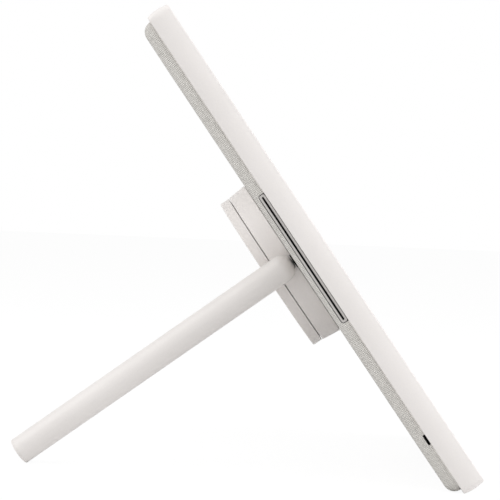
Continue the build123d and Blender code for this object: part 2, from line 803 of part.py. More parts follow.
# ======================= spindle and turning parts ===================================
hub_front = back_depth + hub_gap
hub_back = hub_front + hub_depth
floor_back = hub_front + hub_floor
nut_front = floor_back + spring_space

with BuildPart() as turntable_spindle:
    with BuildSketch(hub_section):
        with BuildLine():
            Polyline(
                (spindle_bore, inside_w - spindle_flange),
                (spindle_flange_radius, inside_w - spindle_flange),
                (spindle_flange_radius, inside_w),
                (spindle_radius, inside_w),
                (spindle_radius, inside_w + spindle_length),
                (spindle_bore, inside_w + spindle_length),
                close=True,
            )
        make_face()
    revolve(axis=hub_axis)
    with BuildSketch(facing_rear(inside_w)):
        with PolarLocations(spindle_screw_circle, 4):
            Circle(thread_radius)
    extrude(amount=-spindle_flange, mode=Mode.SUBTRACT)
save(turntable_spindle, "turntable_spindle")

with BuildPart() as spindle_screw:
    with BuildSketch(seat.offset(-(inside_w - spindle_flange))):
        with PolarLocations(spindle_screw_circle, 4):
            Circle(head_radius)
    extrude(amount=head_height)
    fillet(spindle_screw.faces().group_by(hub_axis)[0].edges(), 0.5)
    with BuildSketch(seat.offset(-(inside_w - spindle_flange) + head_height)):
        with PolarLocations(spindle_screw_circle, 4):
            Rectangle(2.0, 0.5)
            Rectangle(0.5, 2.0)
    extrude(amount=-0.7, mode=Mode.SUBTRACT)
    with BuildSketch(seat.offset(-(inside_w - spindle_flange))):
        with PolarLocations(spindle_screw_circle, 4):
            Circle(shank_radius)
    extrude(amount=-(spindle_flange + housing_wall - 0.1))
save(spindle_screw, "spindle_screws")

with BuildPart() as thrust_washer:
    with BuildSketch(facing_rear(floor_w + running_gap)):
        Circle(washer_radius)
        Circle(spindle_radius + running_gap, mode=Mode.SUBTRACT)
    extrude(amount=hub_front - floor_w - 2 * running_gap)
save(thrust_washer, "thrust_washer")

with BuildPart() as friction_spring:
    with BuildSketch(hub_section):
        with BuildLine():
            Polyline(
                (spindle_radius + 0.2, nut_front - 0.45),
                (spindle_radius + 0.2, nut_front - 0.05),
                (nut_radius + 1.5, floor_back + 0.45),
                (nut_radius + 1.5, floor_back + 0.05),
                close=True,
            )
        make_face()
    revolve(axis=hub_axis)
save(friction_spring, "friction_spring")

with BuildPart() as retainer_nut:
    with BuildSketch(facing_rear(nut_front)):
        Circle(nut_radius)
        Circle(spindle_radius + pin_fit, mode=Mode.SUBTRACT)
        with PolarLocations(nut_radius, 6):
            Rectangle(3.0, 3.2, mode=Mode.SUBTRACT)
    extrude(amount=nut_thickness)
save(retainer_nut, "retainer_nut")

# ======================= hub =========================================================
cap_front = hub_back + seam_width
cap_back = cap_front + cap_depth
cap_inside = cap_back - cap_wall
hub_rear_radius = hub_radius - hub_taper
cap_radius = hub_rear_radius - cap_inset
draft = hub_taper / hub_depth
pivot_wall = hub_radius - draft * (pivot_w - hub_front)  # hub radius beside the pin
boss_face = -(hub_radius + 0.1)
hinge_boss_radius = 5.2
cap_pin_circle = hub_radius - 10.35
cap_pin_radius = 1.5
cap_post_radius = 3.0
boss_top = hub_back - 1.0
bracket_outer = -(hub_radius - 7.35)
bracket_thickness = 8.0
bracket_inner = bracket_outer + bracket_thickness
bracket_width = 26.0
bracket_foot = 1.5
bracket_screws_u = 10.0
bracket_screws_x = bracket_outer + 3.0
socket_width, socket_height, socket_length = 8.94, 3.26, 7.4
socket_board_w = floor_back + 1.1
socket_board = 1.0
socket_mid = socket_board_w + socket_board + socket_height / 2
mouth_u = -(hub_radius - 1.6)
socket_board_width = 16.0
socket_board_length = 16.4
socket_board_end = mouth_u + 2.25
board_posts_x = 7.5
board_posts_u = socket_board_end + 12.0
guard_front = back_depth + guard_gap

with BuildPart() as hub_housing:
    with BuildSketch(hub_section):
        with BuildLine():
            Polyline(
                (spindle_radius + running_gap, hub_front),
                (hub_radius, hub_front),
                (hub_rear_radius, hub_back),
                (hub_rear_radius - hub_wall, hub_back),
                (hub_radius - hub_wall, floor_back),
                (spindle_radius + running_gap, floor_back),
                close=True,
            )
        make_face()
    revolve(axis=hub_axis)
    # flat boss that the leg turns against
    with BuildSketch(facing_left(-(pivot_wall - hub_wall + 0.4))):
        with Locations((0, pivot_w)):
            Circle(hinge_boss_radius)
        with Locations((0, hub_back - hub_depth / 2)):
            Rectangle(3 * hinge_boss_radius, hub_depth, mode=Mode.INTERSECT)
    extrude(amount=-boss_face - (pivot_wall - hub_wall + 0.4))
    # bosses for the cap's pins, and posts for the socket's board
    with BuildSketch(facing_rear(floor_back)):
        with PolarLocations(cap_pin_circle, 4, start_angle=45):
            Circle(cap_post_radius)
            Circle(cap_pin_radius + running_gap, mode=Mode.SUBTRACT)
    extrude(amount=boss_top - floor_back)
    with BuildSketch(facing_rear(floor_back)):
        with Locations((-board_posts_x, board_posts_u), (board_posts_x, board_posts_u)):
            Circle(1.8)
    extrude(amount=socket_board_w - floor_back)
    # peg that runs in the housing's curved slot
    with BuildSketch(facing_rear(hub_front)):
        with PolarLocations(turn_stop_radius, 1, start_angle=turn_start):
            Circle(turn_peg_radius)
    extrude(amount=-(hub_front - inside_w - 0.2))
    # bore for the hinge pin, bracket screw holes, socket window, seat of the tip guard
    with BuildSketch(facing_left(boss_face)):
        with Locations((0, pivot_w)):
            Circle(pin_radius + 0.15)
    extrude(amount=-8, mode=Mode.SUBTRACT)
    with BuildSketch(facing_rear(floor_back)):
        with Locations((-bracket_screws_x, bracket_screws_u), (-bracket_screws_x, -bracket_screws_u)):
            Circle(thread_radius)
    extrude(amount=-(hub_floor - 0.4), mode=Mode.SUBTRACT)
    with BuildSketch(Plane(origin=at(0, -hub_radius, 0), x_dir=across, z_dir=up * -1)):
        with Locations((0, -socket_mid)):
            SlotOverall(socket_width + 0.7, socket_height + 0.7)
    extrude(amount=-hub_wall * 2, mode=Mode.SUBTRACT)
    with BuildSketch(facing_rear(hub_front)):
        with Locations((hub_radius, 0)):
            Rectangle(2 * guard_overlap + 0.2, guard_width + 0.2)
    extrude(amount=guard_front + guard_thickness + 0.04 - hub_front, mode=Mode.SUBTRACT)
save(hub_housing, "hub_housing")

with BuildPart() as glide_ring:
    glide_front = back_depth + glide_gap
    with BuildSketch(facing_rear(glide_front)):
        Circle(hub_radius - glide_inset)
        Circle(hub_radius - glide_inset - glide_width, mode=Mode.SUBTRACT)
        with Locations((hub_radius, 0)):
            Rectangle(4 * glide_width, guard_width + 0.4, mode=Mode.SUBTRACT)
    extrude(amount=hub_front - glide_front)
save(glide_ring, "glide_ring")

with BuildPart() as tip_guard:
    guard_reach = -leg_x + leg_radius * 0.7
    guard_inner = hub_radius - guard_overlap
    with BuildSketch(facing_rear(guard_front)):
        with Locations(((guard_inner + guard_reach) / 2, 0)):
            Rectangle(guard_reach - guard_inner, guard_width)
    extrude(amount=guard_thickness)
save(tip_guard, "tip_guard")

with BuildPart() as hub_cap:
    spigot_radius = hub_rear_radius - hub_wall - 0.2
    with BuildSketch(hub_section):
        with BuildLine():
            Polyline(
                (0, cap_back),
                (cap_radius, cap_back),
                (cap_radius, cap_front),
                (spigot_radius, cap_front),
                (spigot_radius, cap_front - 2.4),
                (spigot_radius - 1.4, cap_front - 2.4),
                (spigot_radius - 1.4, cap_inside),
                (0, cap_inside),
                close=True,
            )
        make_face()
    revolve(axis=hub_axis)
    fillet(hub_cap.faces().sort_by(hub_axis)[-1].edges(), cap_edge)
    # notch that lets the hinge pin pass the cap's spigot
    with BuildSketch(facing_left(-spigot_radius - 1)):
        with Locations((0, cap_front - 2)):
            Rectangle(2 * pin_radius + 2, 4)
    extrude(amount=-4, mode=Mode.SUBTRACT)
    with BuildSketch(facing_rear(cap_inside)):
        with PolarLocations(cap_pin_circle, 4, start_angle=45):
            Circle(cap_post_radius - 0.5)
    extrude(amount=-(cap_inside - boss_top - 0.05))
    with BuildSketch(facing_rear(boss_top + 0.05)):
        with PolarLocations(cap_pin_circle, 4, start_angle=45):
            Circle(cap_pin_radius)
    extrude(amount=-4.5)
save(hub_cap, "hub_cap")

with BuildPart() as power_board:
    with BuildSketch(facing_rear(socket_board_w + 0.03)):
        with Locations((0, socket_board_end + socket_board_length / 2)):
            Rectangle(socket_board_width, socket_board_length)
    extrude(amount=socket_board - 0.03)
save(power_board, "power_board")

with BuildPart() as power_socket:
    mouth = Plane(origin=at(0, mouth_u, 0), x_dir=across, z_dir=up * -1)
    with BuildSketch(mouth):
        with Locations((0, -socket_mid)):
            SlotOverall(socket_width, socket_height)
    extrude(amount=-socket_length)
    with BuildSketch(mouth):
        with Locations((0, -socket_mid)):
            SlotOverall(socket_width - 0.6, socket_height - 0.6)
    extrude(amount=-(socket_length - 1.0), mode=Mode.SUBTRACT)
    with BuildSketch(mouth.offset(-0.6)):
        with Locations((0, -socket_mid)):
            Rectangle(6.7, 0.7)
    extrude(amount=-(socket_length - 1.2))
save(power_socket, "power_socket")

# ======================= hinge =======================================================
bracket_round = 6.0
lug_half = 1.4
lug_reach = 5.6
stop_peg_radius = 0.9
stop_gap = 0.1
stop_offset = lug_half + stop_peg_radius + stop_gap
stop_along = 4.7
cam_front = -bracket_inner - 0.05
cam_thickness = 2.5
spring_front = cam_front - cam_thickness - 0.05
spring_height = 0.85
pin_nut_face = -spring_front + spring_height + 0.05
pin_nut_thickness = 2.6

with BuildPart() as hinge_bracket:
    with BuildSketch(facing_left(bracket_outer)):
        with Locations((0, (floor_back + pivot_w) / 2)):
            Rectangle(2 * bracket_round, pivot_w - floor_back)
        with Locations((0, pivot_w)):
            Circle(bracket_round)
        with Locations((0, floor_back + bracket_round)):
            Rectangle(3 * bracket_round, 2 * bracket_round, mode=Mode.INTERSECT)
        with Locations((0, floor_back + bracket_foot / 2)):
            Rectangle(bracket_width, bracket_foot)
    extrude(amount=bracket_outer - bracket_inner)
    with BuildSketch(facing_left(bracket_outer)):
        with Locations((0, pivot_w)):
            Circle(pin_radius + running_gap)
    extrude(amount=bracket_outer - bracket_inner, mode=Mode.SUBTRACT)
    with BuildSketch(facing_rear(floor_back)):
        with Locations((-bracket_screws_x, bracket_screws_u), (-bracket_screws_x, -bracket_screws_u)):
            Circle(thread_radius)
    extrude(amount=bracket_foot, mode=Mode.SUBTRACT)
    # two pegs that the cam's lug meets, one with the leg out and one with it folded
    with BuildSketch(facing_left(bracket_inner)):
        with Locations((stop_along, pivot_w - stop_offset), (-stop_offset, pivot_w + stop_along)):
            Circle(stop_peg_radius)
    extrude(amount=-2.4)
save(hinge_bracket, "hinge_bracket")

screw_group(
    "bracket_screws",
    [(bracket_screws_x, bracket_screws_u), (bracket_screws_x, -bracket_screws_u)],
    floor_back + bracket_foot,
    bracket_foot + hub_floor - 0.6,
)

pin_outer = leg_x - 3.5
pin_inner = pin_nut_face + pin_nut_thickness + 1.1
with BuildPart() as hinge_pin:
    with BuildSketch(facing_left(pin_inner)):
        with Locations((0, pivot_w)):
            Circle(pin_radius)
    extrude(amount=pin_inner - pin_outer)
    chamfer(hinge_pin.faces().sort_by(Axis.X)[-1].edges(), 0.4)
    chamfer(hinge_pin.faces().sort_by(Axis.X)[0].edges(), 0.4)
save(hinge_pin, "hinge_pin")

with BuildPart() as stop_cam:
    with BuildSketch(facing_left(-cam_front + cam_thickness)):
        with Locations((0, pivot_w)):
            Circle(4.0)
        with Locations((lug_reach / 2, pivot_w)):
            Rectangle(lug_reach, 2 * lug_half)
        with Locations((0, pivot_w)):
            Circle(pin_radius + pin_fit, mode=Mode.SUBTRACT)
    extrude(amount=cam_thickness)
save(stop_cam, "stop_cam")

hinge_section = Plane(origin=at(0, 0, pivot_w), x_dir=across, z_dir=front)  # (x, u)
hinge_axis = Axis(at(0, 0, pivot_w), across * -1)
with BuildPart() as hinge_spring:
    with BuildSketch(hinge_section):
        with BuildLine():
            Polyline(
                (-spring_front, pin_radius + 0.1),
                (-spring_front + 0.35, pin_radius + 0.1),
                (-spring_front + spring_height, 4.4),
                (-spring_front + spring_height - 0.35, 4.4),
                close=True,
            )
        make_face()
    revolve(axis=hinge_axis)
save(hinge_spring, "hinge_spring")

with BuildPart() as pin_nut:
    with BuildSketch(facing_left(pin_nut_face)):
        with Locations((0, pivot_w)):
            RegularPolygon(4.0, 6, major_radius=False)
            Circle(pin_radius + pin_fit, mode=Mode.SUBTRACT)
    extrude(amount=-pin_nut_thickness)
save(pin_nut, "pin_nut")

counterbore_radius = 5.0
counterbore_face = leg_x + leg_radius - 1.05
with BuildPart() as hinge_washer:
    with BuildSketch(facing_left(boss_face - running_gap)):
        with Locations((0, pivot_w)):
            Circle(counterbore_radius - 0.2)
            Circle(pin_radius + running_gap, mode=Mode.SUBTRACT)
    extrude(amount=boss_face - 2 * running_gap - counterbore_face)
save(hinge_washer, "hinge_washer")

# ======================= leg =========================================================
leg_dir = rear * cos(droop) - up * sin(droop)
leg_root = at(leg_x, 0, pivot_w)
leg_section = Plane(origin=leg_root, x_dir=leg_dir, z_dir=up * cos(droop) + rear * sin(droop))
leg_axis = Axis(leg_root, leg_dir)
leg_end = leg_length - foot_thickness

with BuildPart() as stand_leg:
    with BuildSketch(leg_section):
        with BuildLine():
            Line((-leg_radius, 0), (leg_solid, 0))
            Line((leg_solid, 0), (leg_solid, leg_bore))
            Line((leg_solid, leg_bore), (leg_end, leg_bore))
            Line((leg_end, leg_bore), (leg_end, leg_radius))
            Line((leg_end, leg_radius), (0, leg_radius))
            ThreePointArc(
                (0, leg_radius),
                (-leg_radius * cos(radians(45)), leg_radius * sin(radians(45))),
                (-leg_radius, 0),
            )
        make_face()
    revolve(axis=leg_axis)
    with BuildSketch(facing_left(counterbore_face)):
        with Locations((0, pivot_w)):
            Circle(counterbore_radius)
    extrude(amount=-2 * leg_radius, mode=Mode.SUBTRACT)
    with BuildSketch(facing_left(counterbore_face)):
        with Locations((0, pivot_w)):
            Circle(pin_radius + pin_fit)
    extrude(amount=counterbore_face - pin_outer + 0.05, mode=Mode.SUBTRACT)
save(stand_leg, "stand_leg")

with BuildPart() as foot_cap:
    with BuildSketch(leg_section):
        with BuildLine():
            Polyline(
                (leg_end - 11, 0),
                (leg_end - 11, leg_bore - 0.1),
                (leg_end, leg_bore - 0.1),
                (leg_end, leg_radius),
                (leg_length, leg_radius),
                (leg_length, 0),
                close=True,
            )
        make_face()
    revolve(axis=leg_axis)
    fillet(foot_cap.faces().sort_by(leg_axis)[-1].edges(), foot_edge)
save(foot_cap, "foot_cap")

print(f"lean {degrees(lean):.2f} degrees, seat origin {seat.origin}")
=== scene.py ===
import json
import math

import bpy
from mathutils import Matrix, Vector


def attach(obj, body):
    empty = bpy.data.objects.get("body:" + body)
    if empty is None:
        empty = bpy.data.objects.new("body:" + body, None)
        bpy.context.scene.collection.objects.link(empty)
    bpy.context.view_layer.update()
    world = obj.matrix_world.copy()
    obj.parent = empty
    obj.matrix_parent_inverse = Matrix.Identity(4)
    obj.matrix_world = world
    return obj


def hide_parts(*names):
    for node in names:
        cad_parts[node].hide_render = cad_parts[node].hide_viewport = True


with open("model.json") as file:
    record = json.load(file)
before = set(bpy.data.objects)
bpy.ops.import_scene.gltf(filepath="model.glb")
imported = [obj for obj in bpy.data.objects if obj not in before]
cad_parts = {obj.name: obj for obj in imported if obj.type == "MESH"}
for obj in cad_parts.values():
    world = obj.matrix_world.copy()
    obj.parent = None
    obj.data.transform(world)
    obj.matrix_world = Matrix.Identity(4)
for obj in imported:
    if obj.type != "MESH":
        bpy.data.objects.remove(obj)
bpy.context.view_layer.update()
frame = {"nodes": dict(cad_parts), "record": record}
nodes = frame["nodes"]

# ======================= front frame =================================================
# One moulding of warm white plastic with gently rounded sides and a satin finish straight
# from the tool. It carries the glass on a shelf inside.
frame_white = (0.855, 0.82, 0.8, 1)
frame_shade = (0.825, 0.79, 0.77, 1)


def add_node(tree, kind, inputs=None, **settings):
    """One shader node with its settings, and its inputs as values or links."""
    made = tree.nodes.new(kind)
    for key, value in settings.items():
        setattr(made, key, value)
    for key, value in (inputs or {}).items():
        if isinstance(value, bpy.types.NodeSocket):
            tree.links.new(value, made.inputs[key])
        else:
            made.inputs[key].default_value = value
    return made


def feed(node, socket, value):
    """Link a pattern or a shader to one input of a node."""
    node.id_data.links.new(value, node.inputs[socket])


def new_finish(name, roughness, metal=0.0, specular=0.5):
    """A material with its one shader, whose plain values are set on the shader itself."""
    finish = bpy.data.materials.new(name)
    finish.use_nodes = True
    shader = finish.node_tree.nodes["Principled BSDF"]
    shader.inputs["Roughness"].default_value = roughness
    shader.inputs["Metallic"].default_value = metal
    shader.inputs["Specular IOR Level"].default_value = specular
    return finish, finish.node_tree, shader


def piece_places(tree):
    """Places on the piece itself, in metres, for a pattern to follow."""
    return add_node(tree, "ShaderNodeTexCoord").outputs["Object"]


def mix_colours(tree, factor, first, second, kind="MIX"):
    """Two colours mixed by a factor, each a value or a link: sockets 6, 7 and 0 of the node."""
    mixed = add_node(
        tree, "ShaderNodeMix", {0: factor, 6: first, 7: second}, data_type="RGBA", blend_type=kind
    )
    return mixed.outputs[2]


def noise(tree, place, scale, detail):
    """Cloudy pattern: so many patches to a unit of place, with so many finer layers in them."""
    inputs = {"Vector": place, "Scale": scale, "Detail": detail}
    return add_node(tree, "ShaderNodeTexNoise", inputs).outputs["Fac"]


def spread(tree, value, low, high, to_low=0.0, to_high=1.0):
    """Stretch the middle of a pattern over a wider range."""
    inputs = {"Value": value, "From Min": low, "From Max": high, "To Min": to_low, "To Max": to_high}
    return add_node(tree, "ShaderNodeMapRange", inputs).outputs["Result"]


def raise_surface(tree, shader, height, depth, edge=0.0):
    """Bump of a given depth in metres. With an edge radius, edges catch light as if rounded."""
    bump = add_node(tree, "ShaderNodeBump", {"Height": height, "Distance": depth})
    if edge:
        rounded = add_node(tree, "ShaderNodeBevel", {"Radius": edge}, samples=6)
        feed(bump, "Normal", rounded.outputs["Normal"])
    feed(shader, "Normal", bump.outputs["Normal"])


def satin_plastic(name, colour, shade, roughness, grain=0.00045, depth=0.000012, edge=0.00025):
    """Moulded plastic: a slow drift of tone, fine spark-eroded grain and uneven gloss."""
    finish, tree, shader = new_finish(name, roughness)
    place = piece_places(tree)
    drift = spread(tree, noise(tree, place, scale=18.0, detail=2.0), 0.35, 0.65)
    speck = spread(tree, noise(tree, place, scale=0.6 / grain, detail=2.0), 0.3, 0.7)
    plain = mix_colours(tree, drift, shade, colour)
    speckled = mix_colours(tree, speck, (0.6, 0.6, 0.6, 1), (1, 1, 1, 1))
    feed(shader, "Base Color", mix_colours(tree, 0.05, plain, speckled, "MULTIPLY"))
    patches = noise(tree, place, scale=60.0, detail=3.0)
    gloss = spread(tree, patches, 0.3, 0.7, roughness - 0.05, roughness + 0.05)
    feed(shader, "Roughness", gloss)
    raise_surface(tree, shader, noise(tree, place, scale=1 / grain, detail=2.0), depth, edge)
    return finish


def dress(finish, *names):
    """Give CAD nodes their finish."""
    for name in names:
        nodes[name].data.materials.clear()
        nodes[name].data.materials.append(finish)


dress(satin_plastic("frame_satin", frame_white, frame_shade, roughness=0.4, edge=0.0005), "front_frame")

# ======================= glass, printed border and screen ============================
# Clear hardened glass bonded on the frame's shelf. Behind it a white printed film leaves
# the screen, the lens, the light sensor and two microphones open. The screen is off.

# The display leans back on its bottom edge and its leg, so pieces are modelled flat, with
# x across, y up the display and z out of the screen, and then leaned. Their origin is on
# the hub's turning axis, in the plane where frame and back meet.
decimals = 5  # sizes read from the frame are rounded to a hundredth of a millimetre
hub_face = next(mount for mount in frame["record"]["mounts"] if mount["name"] == "hub_face")
hub_face_place = Vector(hub_face["pos_m"])
rear = Vector(hub_face["axis"]).normalized()
across = Vector((1, 0, 0))
back_start = min(rear.dot(vertex.co) for vertex in nodes["fabric_cover"].data.vertices)
hub_face_depth = round(rear.dot(hub_face_place) - back_start, decimals)
seat = Matrix((across, across.cross(rear), -rear)).transposed().to_4x4()
seat.translation = hub_face_place - rear * hub_face_depth


def flat_places(name):
    """Where the vertices of one of the display's CAD nodes lie before it is leaned."""
    upright = seat.inverted()
    return [upright @ vertex.co for vertex in nodes[name].data.vertices]


def flat_box(name):
    """Lowest and highest x, y and z of one of the display's CAD nodes before it is leaned."""
    places = flat_places(name)
    low = [round(min(place[axis] for place in places), decimals) for axis in range(3)]
    high = [round(max(place[axis] for place in places), decimals) for axis in range(3)]
    return low, high


glass_low, glass_high = flat_box("cover_glass")
glass_width = glass_high[0] - glass_low[0]
glass_length = glass_high[1] - glass_low[1]
glass_front = glass_high[2]
film_gap = 0.00002  # keeps the glass's rear face off the film's
glass_rear = glass_low[2] + film_gap
glass_corner = 0.00185
glass_round = 0.0004
hairbreadth = 1e-6  # how near a place has to be to count as the same
aligned = 0.9  # an edge or a face counts as along an axis from this share of its direction
soft_angle = math.radians(40)  # faces that turn by less are shaded as one curve


def work_on(piece):
    """Make one piece the only one that operators act on."""
    bpy.ops.object.select_all(action="DESELECT")
    piece.select_set(True)
    bpy.context.view_layer.objects.active = piece


def name_piece(name):
    """Name the primitive just added, with its size worked into its mesh."""
    piece = bpy.context.object
    piece.name = piece.data.name = name
    bpy.ops.object.transform_apply(location=True, rotation=True, scale=True)
    return piece


def add_block(name, size, place):
    """A block at its size and place, to be shaped further."""
    bpy.ops.object.select_all(action="DESELECT")
    bpy.ops.mesh.primitive_cube_add(size=1, location=place)
    bpy.context.object.scale = size
    return name_piece(name)


def clear_marks(piece, kind):
    """Work on one piece's edges or faces, with none of them selected yet."""
    work_on(piece)
    bpy.ops.object.mode_set(mode="EDIT")
    bpy.ops.mesh.select_mode(type=kind)
    bpy.ops.mesh.select_all(action="DESELECT")
    bpy.ops.object.mode_set(mode="OBJECT")


def round_edges(piece, rule, radius, steps):
    """Round the edges whose middle and direction meet a rule."""
    clear_marks(piece, "EDGE")
    for edge in piece.data.edges:
        start, end = [piece.data.vertices[index].co for index in edge.vertices]
        edge.select = rule((start + end) / 2, (end - start).normalized())
    bpy.ops.object.mode_set(mode="EDIT")
    bpy.ops.mesh.bevel(offset=radius, segments=steps, affect="EDGES")
    bpy.ops.object.mode_set(mode="OBJECT")


def runs_through(middle, along):
    """An edge that runs straight from the front to the rear."""
    return abs(along.z) > aligned


def lean_back(piece, finish):
    """Lean a finished piece, smooth its soft edges and give it its material."""
    piece.data.transform(seat)
    piece.data.update()
    work_on(piece)
    bpy.ops.object.shade_smooth_by_angle(angle=soft_angle)
    piece.data.materials.append(finish)


def maths(tree, operation, first, second=0.0):
    """Sum, product or the like of two values, or of links to them."""
    return add_node(tree, "ShaderNodeMath", {0: first, 1: second}, operation=operation).outputs[0]


def any_of(tree, first, *others):
    """1 where any one of some tests says 1."""
    found = first
    for other in others:
        found = maths(tree, "MAXIMUM", found, other)
    return found


def clear_glass(name):
    """Glass bonded to what is behind it: it shines on its outer face and lets light in."""
    finish, tree, shader = new_finish(name, roughness=0.03)
    shader.inputs["Transmission Weight"].default_value = 1.0
    shader.inputs["IOR"].default_value = 1.5
    place = piece_places(tree)
    smear = spread(tree, noise(tree, place, scale=22.0, detail=4.0), 0.45, 0.75, to_low=0.01, to_high=0.03)
    feed(shader, "Roughness", smear)
    cloud = noise(tree, place, scale=6.0, detail=1.0)
    feed(shader, "Base Color", mix_colours(tree, cloud, (0.96, 0.975, 0.975, 1), (0.985, 0.99, 0.99, 1)))
    rays = add_node(tree, "ShaderNodeLightPath").outputs
    inner_face = add_node(tree, "ShaderNodeNewGeometry").outputs["Backfacing"]
    passed = any_of(tree, rays["Is Shadow Ray"], rays["Is Diffuse Ray"], inner_face)
    clear = add_node(tree, "ShaderNodeBsdfTransparent").outputs[0]
    both = add_node(tree, "ShaderNodeMixShader", {0: passed, 1: shader.outputs[0], 2: clear})
    feed(tree.nodes["Material Output"], "Surface", both.outputs[0])
    return finish


glass = add_block(
    "front_glass",
    (glass_width, glass_length, glass_front - glass_rear),
    (0, 0, (glass_rear + glass_front) / 2),
)
round_edges(glass, runs_through, glass_corner, steps=8)
round_edges(glass, lambda middle, along: middle.z > glass_front - hairbreadth, glass_round, steps=4)
lean_back(glass, clear_glass("front_glass_clear"))
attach(glass, "display")
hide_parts("cover_glass")

film_white = (0.73, 0.73, 0.72, 1)
film_shade = (0.7, 0.7, 0.69, 1)


def printed_film(name, colour, shade):
    """Ink printed on film, with a fine grain."""
    finish, tree, shader = new_finish(name, roughness=0.25)
    place = piece_places(tree)
    dots = spread(tree, noise(tree, place, scale=900.0, detail=2.0), 0.3, 0.7)
    feed(shader, "Base Color", mix_colours(tree, dots, shade, colour))
    raise_surface(tree, shader, noise(tree, place, scale=1200.0, detail=2.0), depth=0.000003)
    return finish


def dark_screen(name):
    """A screen that is off: near black, with a faint drift of tone in its polariser."""
    finish, tree, shader = new_finish(name, roughness=0.35, specular=0.12)
    place = piece_places(tree)
    drift = spread(tree, noise(tree, place, scale=9.0, detail=2.0), 0.3, 0.7)
    fine = spread(tree, noise(tree, place, scale=60.0, detail=2.0), 0.3, 0.7, to_high=0.4)
    cloud = mix_colours(tree, drift, (0.008, 0.009, 0.012, 1), (0.014, 0.015, 0.019, 1))
    feed(shader, "Base Color", mix_colours(tree, fine, cloud, (0.012, 0.013, 0.016, 1)))
    return finish


dress(printed_film("border_film", film_white, film_shade), "bezel_mask")
dress(dark_screen("screen_off"), "lcd_panel")

# ======================= chassis, boards and speakers ================================
# A stamped alloy plate is screwed to the frame behind the screen. It carries the main
# board, with its shield can and finned spreader, and two speakers in black cases. The
# camera sits beside the screen, behind its hole in the border.
def stretched(tree, place, scale):
    """Places counted closer or wider along each axis, which draws a pattern out."""
    return add_node(tree, "ShaderNodeMapping", {"Vector": place, "Scale": scale}).outputs["Vector"]


def stamped_metal(name, colour, shade, roughness, lines=(40, 400, 40)):
    """Metal with fine drawn lines, which run along the axes that have a low count."""
    finish, tree, shader = new_finish(name, roughness, metal=1.0)
    drawn = noise(tree, stretched(tree, piece_places(tree), lines), scale=6.0, detail=4.0)
    feed(shader, "Base Color", mix_colours(tree, spread(tree, drawn, 0.3, 0.7), shade, colour))
    feed(shader, "Roughness", spread(tree, drawn, 0.3, 0.7, roughness - 0.06, roughness + 0.08))
    raise_surface(tree, shader, drawn, depth=0.000006)
    return finish


def cells(tree, place, scale, distance="EUCLIDEAN"):
    """Distance from the middle of the nearest of many cells."""
    inputs = {"Vector": place, "Scale": scale}
    return add_node(tree, "ShaderNodeTexVoronoi", inputs, distance=distance).outputs["Distance"]


def circuit_resist(name):
    """Green solder resist over copper tracks."""
    finish, tree, shader = new_finish(name, roughness=0.32)
    tracks = cells(tree, piece_places(tree), scale=420.0, distance="CHEBYCHEV")
    track = spread(tree, tracks, 0.3, 0.42)
    feed(shader, "Base Color", mix_colours(tree, track, (0.02, 0.12, 0.07, 1), (0.03, 0.19, 0.11, 1)))
    raise_surface(tree, shader, track, depth=0.00003)
    return finish


def moulded_black(name, tone, roughness):
    """Plain dark plastic or rubber with a fine fleck, about as bright as its tone."""
    finish, tree, shader = new_finish(name, roughness)
    place = piece_places(tree)
    fleck = spread(tree, noise(tree, place, scale=700.0, detail=3.0), 0.3, 0.7)
    dark = (tone * 0.8,) * 3 + (1,)
    light = (tone * 1.3,) * 3 + (1,)
    feed(shader, "Base Color", mix_colours(tree, fleck, dark, light))
    feed(shader, "Roughness", spread(tree, fleck, 0, 1, roughness - 0.05, roughness + 0.1))
    raise_surface(tree, shader, noise(tree, place, scale=1500.0, detail=2.0), depth=0.00002)
    return finish


alloy = stamped_metal("stamped_alloy", (0.66, 0.67, 0.68, 1), (0.55, 0.56, 0.57, 1), roughness=0.38)
tin = stamped_metal("tinned_steel", (0.72, 0.72, 0.7, 1), (0.62, 0.62, 0.61, 1), roughness=0.3)
screw_steel = stamped_metal("blackened_steel", (0.16, 0.16, 0.17, 1), (0.09, 0.09, 0.1, 1), roughness=0.42)
resist = circuit_resist("board_green")
black_rubber = moulded_black("rubber_black", tone=0.024, roughness=0.68)
black_case = moulded_black("speaker_black", tone=0.03, roughness=0.5)

dress(alloy, "chassis_plate", "heat_spreader")
dress(tin, "shield_can")
dress(screw_steel, "chassis_screws", "board_screws")
dress(resist, "main_board")
dress(black_case, "side_speaker", "side_driver", "camera_module", "bass_driver")
dress(black_rubber, "bass_cone")

# ======================= rear housing ================================================
# The moulded tray that closes the back, screwed to the chassis plate. It is plain dark
# plastic, since cloth covers its outside, and shows only as fine dark lines round the
# trims and behind the cloth's corners.
dress(moulded_black("tray_black", tone=0.04, roughness=0.6), "rear_housing")
dress(screw_steel, "housing_screws")

# ======================= woven cloth =================================================
# A plain weave of pale grey and white yarns, stretched over the tray and bonded to it, so
# it follows the rounded rear edge. It stops at the trims and under the hub.
cover_low, cover_high = flat_box("fabric_cover")
cloth_width = cover_high[0] - cover_low[0]
cloth_length = cover_high[1] - cover_low[1]
cloth_depth = -cover_low[2]
cloth_corner = 0.0056
cloth_edge = 0.0054
cloth_thickness = 0.0006
hub_hole = min(math.hypot(place.x, place.y) for place in flat_places("fabric_cover"))
hub_hole = round(hub_hole, decimals)
hub_hole_sides = 96
yarn = 0.00078
yarn_sink = 0.45  # share of its height that a yarn loses between the yarns that it crosses
yarn_fuzz = 0.25  # height of its fuzz, as a share of the yarn's
yarn_pale = (0.98, 0.95, 0.9, 1)
yarn_deep = (0.78, 0.752, 0.708, 1)

# Windows for the trims and the microphone, with a little room round each. The tools that
# cut them and the hub's hole reach well past the cloth on both its sides.
window_tool = 0.02
hole_tool = 0.01
trim_low, trim_high = flat_box("vent_bezel")
trim_room = 0.0003
trim_window_corner = 0.0011
mic_low, mic_high = flat_box("mic_port")
mic_room_along = 0.0001
mic_room_beside = 0.00015
mic_window_corner = 0.0003


